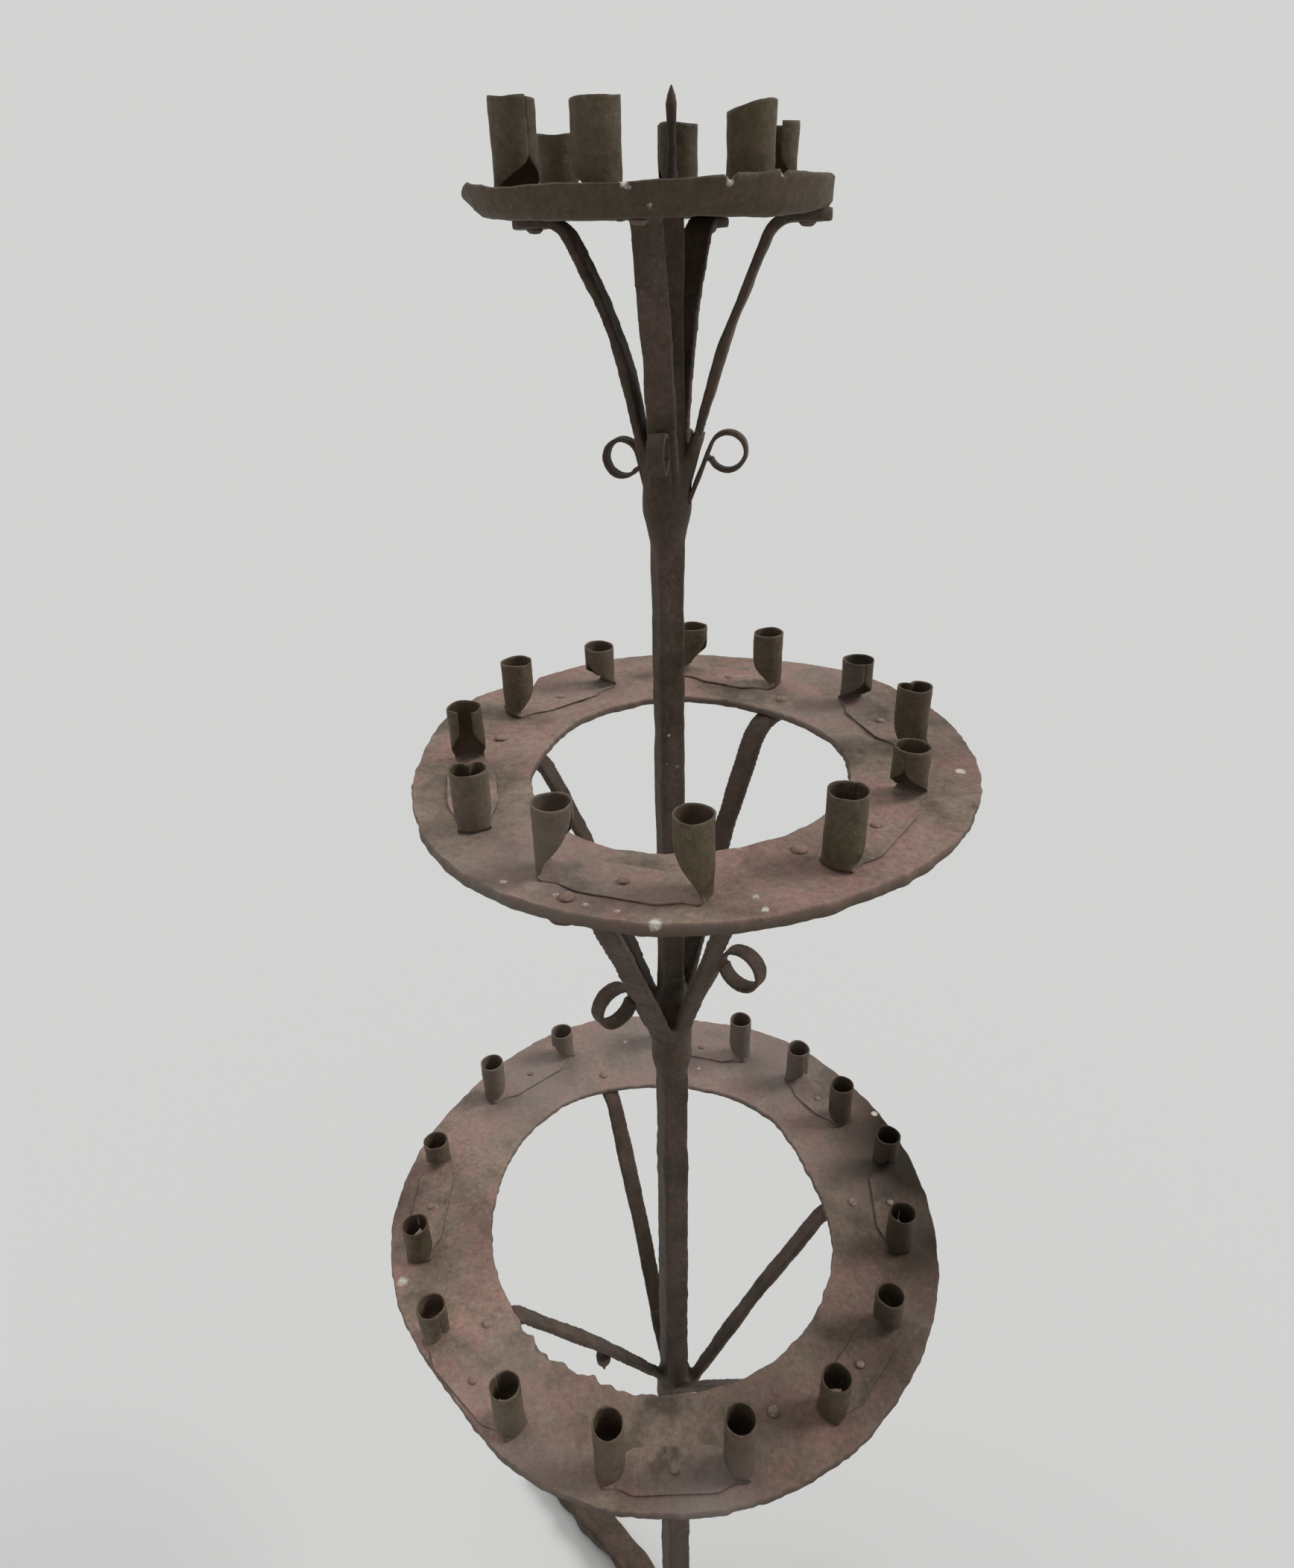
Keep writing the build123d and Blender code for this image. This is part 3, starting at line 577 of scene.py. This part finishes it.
def ring_plate(node, centre, rim_radius, width, rim_bulges, hole_bulges, notch, torn, burr, seed):
    """A hand-cut ring: its edges stray and are nibbled, and its face is hammered and a little warped.

    The notch is a bite out of the rim, torn is where the edge of the hole is ragged, and burr is how far
    the front rim was beaten down.
    """
    low, high = (corner.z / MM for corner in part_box(node))
    hole_radius = rim_radius - width
    ease = PLATE_EASE
    outline = [
        (hole_radius, low + ease),
        (hole_radius + ease, low),
        (rim_radius - ease, low),
        (rim_radius, low + ease),
        (rim_radius, high - ease),
        (rim_radius - ease, high),
        (hole_radius + ease, high),
        (hole_radius, high - ease),
    ]
    bm = spun(divided(outline, PLATE_GRAIN), centre, round(2 * math.pi * rim_radius / PLATE_GRAIN))
    # Painted shade: the plate's sides and underside are darkened more the further they lie below its top
    # face
    side = bm.verts.layers.float.new("side")
    for vert in bm.verts:
        azimuth, reach = around(vert, centre)
        depth = (high - vert.co.z / MM) / (high - low)
        vert[side] = soft_step(depth * 3)
        share = (reach - hole_radius) / width
        nibble = 1.3 * lumps(vert.co, 16, seed) + 0.8 * lumps(vert.co, 6, seed + 1)
        nibble *= soft_step((abs(2 * share - 1) - 0.8) / 0.2)
        inside = torn and soft_step((azimuth - torn[0]) / 6) * soft_step((torn[1] - azimuth) / 6)
        if inside:
            ragged = 6 * lumps(vert.co, 22, seed) + 4.5 * lumps(vert.co, 8, seed + 3)
            nibble += inside * soft_step(1 - 2.5 * share) * ragged
        if notch:
            bite = max(0, 1 - abs(azimuth - notch[0]) / notch[1])
            nibble -= notch[2] * bite * soft_step((share - 0.6) / 0.4)
        hole = hole_radius + stray(hole_bulges, azimuth)
        rim = rim_radius + stray(rim_bulges, azimuth)
        put(vert, centre, azimuth, blend(hole, rim, share) + nibble)
        front = soft_step(-0.3 - 1.6 * math.sin(math.radians(azimuth)))
        hang = burr * front * depth * soft_step((share - 0.94) / 0.06)
        vert.co.z += (warp(vert.co.x, vert.co.y, seed) - hang) * MM
    hammer(bm, seed + 2, ((26, 0.6), (9, 0.45), (4, 0.2)))
    plate = finish_piece(bm, f"{node}_plate", rusted_plate_iron, node)
    plate.data.set_sharp_from_angle(angle=math.radians(34))
    return plate


# Dark patches, partly painted shadow cast by the sockets, and grey ash that lie over each tier's plate and
# strips: place, radius and strength
TIER_SHADOWS_AND_STAINS = {
    "tray": (),
    "middle": (
        (205, 75, 1430, 110, 0.55), (215, 5, 1430, 110, 0.4), (-165, 60, 1430, 70, 0.2),
        (60, 205, 1430, 60, 0.35), (85, -125, 1430, 60, 0.25), (-30, 190, 1430, 60, 0.2),
        (-110, 150, 1430, 60, 0.35),
    ),
    "lower": (
        (275, 70, 918, 150, 1.6), (250, 140, 918, 110, 1.1), (250, -40, 918, 150, 1),
        (180, -150, 918, 140, 0.75), (60, -190, 918, 140, 0.6), (-60, -195, 918, 100, 0.35),
        (-280, 20, 918, 60, 0.7), (160, 190, 918, 110, 0.4), (-190, -10, 918, 90, 0.3),
    ),
}
TIER_ASH = {
    "tray": (),
    "middle": (
        (-90, -140, 1430, 90, 0.5), (-70, 110, 1430, 70, 0.3), (130, 60, 1430, 70, 0.4),
        (150, 150, 1430, 60, 0.5),
    ),
    "lower": (
        (0, 240, 918, 170, 0.8), (-150, 180, 918, 130, 0.8), (120, 200, 918, 130, 0.7),
        (160, 60, 918, 80, 0.3), (20, -268, 918, 60, 0.8), (-120, -235, 918, 60, 0.5),
        (-140, -160, 918, 70, 0.35),
    ),
}

# Seeds of the rings' noise, which the strips on them share to follow the same warp
MIDDLE_WARP_SEED = 61
LOWER_WARP_SEED = 83
middle_plate = ring_plate(
    "middle_ring",
    MIDDLE_CENTRE,
    MIDDLE_RIM_RADIUS,
    MIDDLE_RING_WIDTH,
    MIDDLE_RIM_BULGES,
    MIDDLE_HOLE_BULGES,
    MIDDLE_NOTCH,
    None,
    MIDDLE_BURR,
    MIDDLE_WARP_SEED,
)
mark(middle_plate, "lime", [
    (-14, -201, 1428, 6, 1.1), (48, -191, 1430, 4, 1), (44, -179, 1430, 4, 0.8), (39, -126, 1430, 4, 0.9),
    (204, -36, 1430, 6, 1), (-103, -159, 1430, 4, 0.9), (-71, -173, 1430, 4, 0.7), (-53, -183, 1430, 4, 0.7),
    (-35, -190, 1430, 4, 0.7), (73, -192, 1430, 4, 0.7),
])
lower_plate = ring_plate(
    "lower_ring",
    LOWER_CENTRE,
    LOWER_RIM_RADIUS,
    LOWER_RING_WIDTH,
    LOWER_RIM_BULGES,
    LOWER_HOLE_BULGES,
    None,
    LOWER_TORN,
    LOWER_BURR,
    LOWER_WARP_SEED,
)
mark(lower_plate, "lime", [
    (37, 191, 918, 4, 0.8), (228, 119, 918, 6, 1), (-255, -69, 918, 9, 0.8), (-50, 237, 918, 6, 0.6),
])
for tier, plate in (("middle", middle_plate), ("lower", lower_plate)):
    # Dark patches that are partly painted shadow, and grey ash, laid over the plates
    mark(plate, "stain", TIER_SHADOWS_AND_STAINS[tier])
    mark(plate, "ash", TIER_ASH[tier])


def drip_tray():
    """A shallow pan beaten out of sheet: its wall sags in front, has a lip at the left and is split once."""
    low, high = (corner.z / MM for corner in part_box("drip_tray"))
    rim = high + TRAY_DRAWN_UP
    outline = [
        (0, low),
        (TRAY_FLOOR_RADIUS - 8, low),
        (TRAY_FLOOR_RADIUS - 3, low + 1),
        (TRAY_FLOOR_RADIUS + 0.5, low + 4),
        (TRAY_RADIUS, rim - 1),
        (TRAY_RADIUS - 1, rim),
        (TRAY_RADIUS - TRAY_SHEET, rim - 0.6),
        (TRAY_FLOOR_RADIUS - TRAY_SHEET + 0.5, low + 5),
        (TRAY_FLOOR_RADIUS - 5, low + TRAY_SHEET + 1),
        (TRAY_FLOOR_RADIUS - 9, low + TRAY_SHEET),
        (0, low + TRAY_SHEET),
    ]
    bm = spun(divided(outline, 1.8), TRAY_CENTRE, 420)
    hammer(bm, 31, ((40, 0.8), (15, 0.5), (5, 0.2)))
    for vert in bm.verts:
        azimuth, reach = around(vert, TRAY_CENTRE)
        rise = min(max((vert.co.z / MM - low) / (rim - low), 0), 1)
        outer = soft_step((reach - 55) / 40)
        front = soft_step((0.1 - math.sin(math.radians(azimuth))) / 1.1)
        lip = soft_step(1 - abs(azimuth - TRAY_LIP) / 20)
        end = soft_step(1 - min(azimuth, 360 - azimuth) / 40)
        high_end = 4 * soft_step(math.cos(math.radians(azimuth)) * 1.4)
        sag = front * blend(6.5, 7.2 - high_end, rise) + lip * 7 * rise
        along = (azimuth * MM, 0, 0)
        wave = rise * (1.3 * lumps(along, 26, 7) + 0.8 * lumps(along, 9, 8))
        chip = sum(max(0, 1 - abs(azimuth - turn) / half) for turn, half in TRAY_CHIPS)
        vert.co.z += (outer * (wave - sag) - 3.5 * chip * soft_step((rise - 0.6) / 0.4)) * MM
        split = azimuth - blend(TRAY_SPLIT_FOOT, TRAY_SPLIT_RIM, rise)
        step = soft_step(-split / 1.2 + 0.5) * soft_step(1 + split / 18)
        reach += outer * (lip * blend(-3, 1.5, rise) + end * blend(3, -2.5, rise) + 1.8 * step)
        put(vert, TRAY_CENTRE, azimuth, reach)
    return finish_piece(bm, "drip_tray_pan", sheet_iron, "drip_tray")


tray_pan = drip_tray()
mark(tray_pan, "lime", [
    (-22, -102, 1781, 3.5, 0.9), (-19.5, -102, 1779, 2.8, 0.7), (-10, -102, 1771, 4, 1.2),
    (-8, -102, 1769.5, 3.4, 1.1), (-13, -101, 1766, 3, 0.8), (28, -96, 1781, 3.4, 0.9),
    (55, -81, 1785, 3.4, 0.9),
])
# Painted shade: the pan is darkened most at its front wall, less towards its back
mark(tray_pan, "stain", [(-20, -100, 1775, 230, 0.45)])


def socket_pair(node, warp_seed, strip_rust, tube_rust, seed):
    """A strip with both ends folded up and rolled into tubes that open towards each other at the foot."""
    place = node.replace("_socket_pair", "")
    names = [f"{place}_socket_{number}" for number in (1, 2)]
    ends = [Vector(mounts[name]["pos_m"]) / MM for name in names]
    walls = [mounts[name]["dims"]["length_mm"] for name in names]
    roll = mounts[names[0]]["dims"]["r_mm"] + THIN_WALL / 2
    base = ends[0].z - walls[0] / 2 - SHEET
    for end in ends:
        end.z = base
    middle = (ends[0] + ends[1]) / 2
    along = (ends[1] - ends[0]).normalized()
    across = Vector((0, 0, 1)).cross(along)
    spread = (ends[1] - ends[0]).length / 2
    flat_run = spread + roll - FOLD_RADIUS
    fold_run = FOLD_RADIUS * math.pi / 2
    bm = bmesh.new()
    bmesh.ops.create_grid(bm, x_segments=56, y_segments=130, size=1)
    rust = bm.verts.layers.float.new("rust")
    for vert in bm.verts:
        end = 1 if vert.co.y >= 0 else 0
        side = 2 * end - 1
        traits = SOCKET_TRAITS.get(names[end], {})
        quill = traits.get("quill", QUILL_HEIGHT)
        gap = traits.get("gap", 0.5 + 0.6 * lumps((0, 0, (seed + side) * 0.1), 30, 5))
        wall_run = walls[end] + SHEET / 2 - FOLD_RADIUS
        run = abs(vert.co.y) * (flat_run + fold_run + wall_run)
        share = vert.co.x
        rolled = soft_step((run - flat_run + 4) / (6 + fold_run))
        cut = soft_step((run - flat_run - 0.3 * fold_run) / quill)
        narrowing = traits.get("neck", 1.7) * roll
        neck = soft_step((run - spread + narrowing) / (0.9 * narrowing))
        half_width = blend(blend(STRIP_HALF_WIDTH, NECK_HALF_WIDTH, neck), math.pi * roll - gap / 2, cut)
        offset = share * half_width
        bend = rolled / roll
        if bend * half_width > 0.001:
            sideways = math.sin(bend * offset) / bend
            inward = (1 - math.cos(bend * offset)) / bend
            pinch = 1 - traits.get("curl", 0.06) * cut * max(0, (abs(share) - 0.72) / 0.28) ** 2
            sideways *= pinch
            inward = 1 / bend + (inward - 1 / bend) * pinch
        else:
            sideways, inward = offset, 0
        climb = max(0, run - flat_run - fold_run)
        if run <= flat_run:
            x, z, lean = run, SHEET / 2, 0
            curled = 0.3 + abs(lumps((run * side * MM, share * 0.01, 0), 40, seed))
            z += curled * abs(share) ** 3 * (1 - neck)
        elif climb == 0:
            lean = (run - flat_run) / FOLD_RADIUS
            x = flat_run + FOLD_RADIUS * math.sin(lean)
            z = SHEET / 2 + FOLD_RADIUS * (1 - math.cos(lean))
        else:
            lean = math.pi / 2
            x = spread + roll
            ragged = 1.2 * lumps((share * 0.02, side * 0.05, 0), 9, seed)
            ragged += traits.get("slant", lumps((0, 0, side * 0.1), 30, seed)) * sideways / roll
            ragged -= traits.get("dip", 0) * max(0, 1 - abs(share) * 3)
            z = SHEET / 2 + FOLD_RADIUS + climb + ragged * climb / wall_run
        x -= inward * math.sin(lean)
        z += inward * math.cos(lean)
        spot = middle + along * (x * side) + across * sideways
        lift = warp(spot.x * MM, spot.y * MM, warp_seed) if warp_seed else 0
        vert.co = Vector((spot.x, spot.y, base + z + lift)) * MM
        vert[rust] = blend(strip_rust, tube_rust, soft_step((run - flat_run + 6) / 14))
    bmesh.ops.recalc_face_normals(bm, faces=bm.faces)
    bm.normal_update()
    for vert in bm.verts:
        vert.co += vert.normal * (THIN_WALL / 2 * MM)
    bmesh.ops.solidify(bm, geom=bm.faces[:], thickness=THIN_WALL * MM)
    hammer(bm, seed, ((22, 0.5), (8, 0.3), (3, 0.12)))
    return finish_piece(bm, f"{node}_rolled", sheet_iron, node)


# How each tier's plate is warped, and how much of a plate's rust its strips and its tubes have
SOCKET_TIERS = {
    "tray": (0, 0.15, 0),
    "middle": (MIDDLE_WARP_SEED, 1, 0.05),
    "lower": (LOWER_WARP_SEED, 1, 0.15),
}
for name in sorted(nodes):
    if "_socket_pair_" in name:
        seed += 1
        tier = name.split("_")[0]
        pair = socket_pair(name, *SOCKET_TIERS[tier], seed)
        # The strips take their plate's dark patches, partly painted shadow, and its ash
        mark(pair, "stain", TIER_SHADOWS_AND_STAINS[tier])
        mark(pair, "ash", TIER_ASH[tier])


def camera():
    """The photograph's viewpoint: the picture's right and up axes turned by the roll."""
    pitch, roll = math.radians(PITCH_DOWN), math.radians(ROLL)
    right = Vector((1, 0, 0))
    up = Vector((0, math.sin(pitch), math.cos(pitch)))
    toward = Vector((0, math.cos(pitch), -math.sin(pitch)))
    picture_right = right * math.cos(roll) + up * math.sin(roll)
    picture_up = up * math.cos(roll) - right * math.sin(roll)
    data = bpy.data.cameras.new("viewer")
    data.sensor_width = SENSOR
    data.lens = SENSOR * FOCAL_PIXELS / FRAME_HEIGHT
    data.clip_start = 0.01
    eye = bpy.data.objects.new("viewer", data)
    bpy.context.scene.collection.objects.link(eye)
    axes = (picture_right, picture_up, -toward, Vector(EYE) * MM)
    for column, axis in enumerate(axes):
        for row in range(3):
            eye.matrix_world[row][column] = axis[row]
    bpy.context.scene.camera = eye


def floor():
    """A wide pale floor."""
    bm = bmesh.new()
    bmesh.ops.create_circle(bm, cap_ends=True, segments=96, radius=40)
    mesh = bpy.data.meshes.new("floor")
    bm.to_mesh(mesh)
    bm.free()
    material = bpy.data.materials.new("pale_matt_floor")
    material.use_nodes = True
    shader = material.node_tree.nodes["Principled BSDF"]
    shader.inputs["Base Color"].default_value = linear("#d8d8d6")
    shader.inputs["Roughness"].default_value = 0.9
    shader.inputs["Specular IOR Level"].default_value = 0.1
    mesh.materials.append(material)
    ground = bpy.data.objects.new("floor", mesh)
    bpy.context.scene.collection.objects.link(ground)


def soft_lamp(name, azimuth, height, spread, strength):
    """A far lamp that lights everything evenly: where it stands and how wide it looks, in degrees."""
    data = bpy.data.lights.new(name, "SUN")
    data.angle = math.radians(spread)
    data.energy = strength
    lamp = bpy.data.objects.new(name, data)
    bpy.context.scene.collection.objects.link(lamp)
    turn, rise = math.radians(azimuth), math.radians(height)
    place = Vector((math.cos(turn) * math.cos(rise), math.sin(turn) * math.cos(rise), math.sin(rise)))
    lamp.rotation_euler = place.to_track_quat("Z", "Y").to_euler()


def studio():
    """Even light from all round, brighter from the right and above, with a pale surround."""
    world = bpy.data.worlds.new("studio")
    bpy.context.scene.world = world
    world.use_nodes = True
    tree = world.node_tree
    tree.nodes.clear()
    path = add(tree, "ShaderNodeLightPath")
    seen = path.outputs["Is Camera Ray"]
    for kind in ("Is Glossy Ray", "Is Transmission Ray"):
        seen = add(tree, "ShaderNodeMath", {0: seen, 1: path.outputs[kind]}, operation="MAXIMUM").outputs[0]
    lit = add(tree, "ShaderNodeBackground", {"Color": linear("#f2f3f5"), "Strength": 0.4})
    shown = add(tree, "ShaderNodeBackground", {"Color": linear("#d3d3d2"), "Strength": 1})
    both = add(tree, "ShaderNodeMixShader", {0: seen, 1: lit.outputs[0], 2: shown.outputs[0]})
    add(tree, "ShaderNodeOutputWorld", {"Surface": both.outputs[0]})
    soft_lamp("right_lamp", 8, 40, 22, 1.6)
    soft_lamp("back_left_lamp", 130, 62, 50, 0.9)


camera()
floor()
studio()
bpy.context.scene.view_settings.view_transform = "Standard"
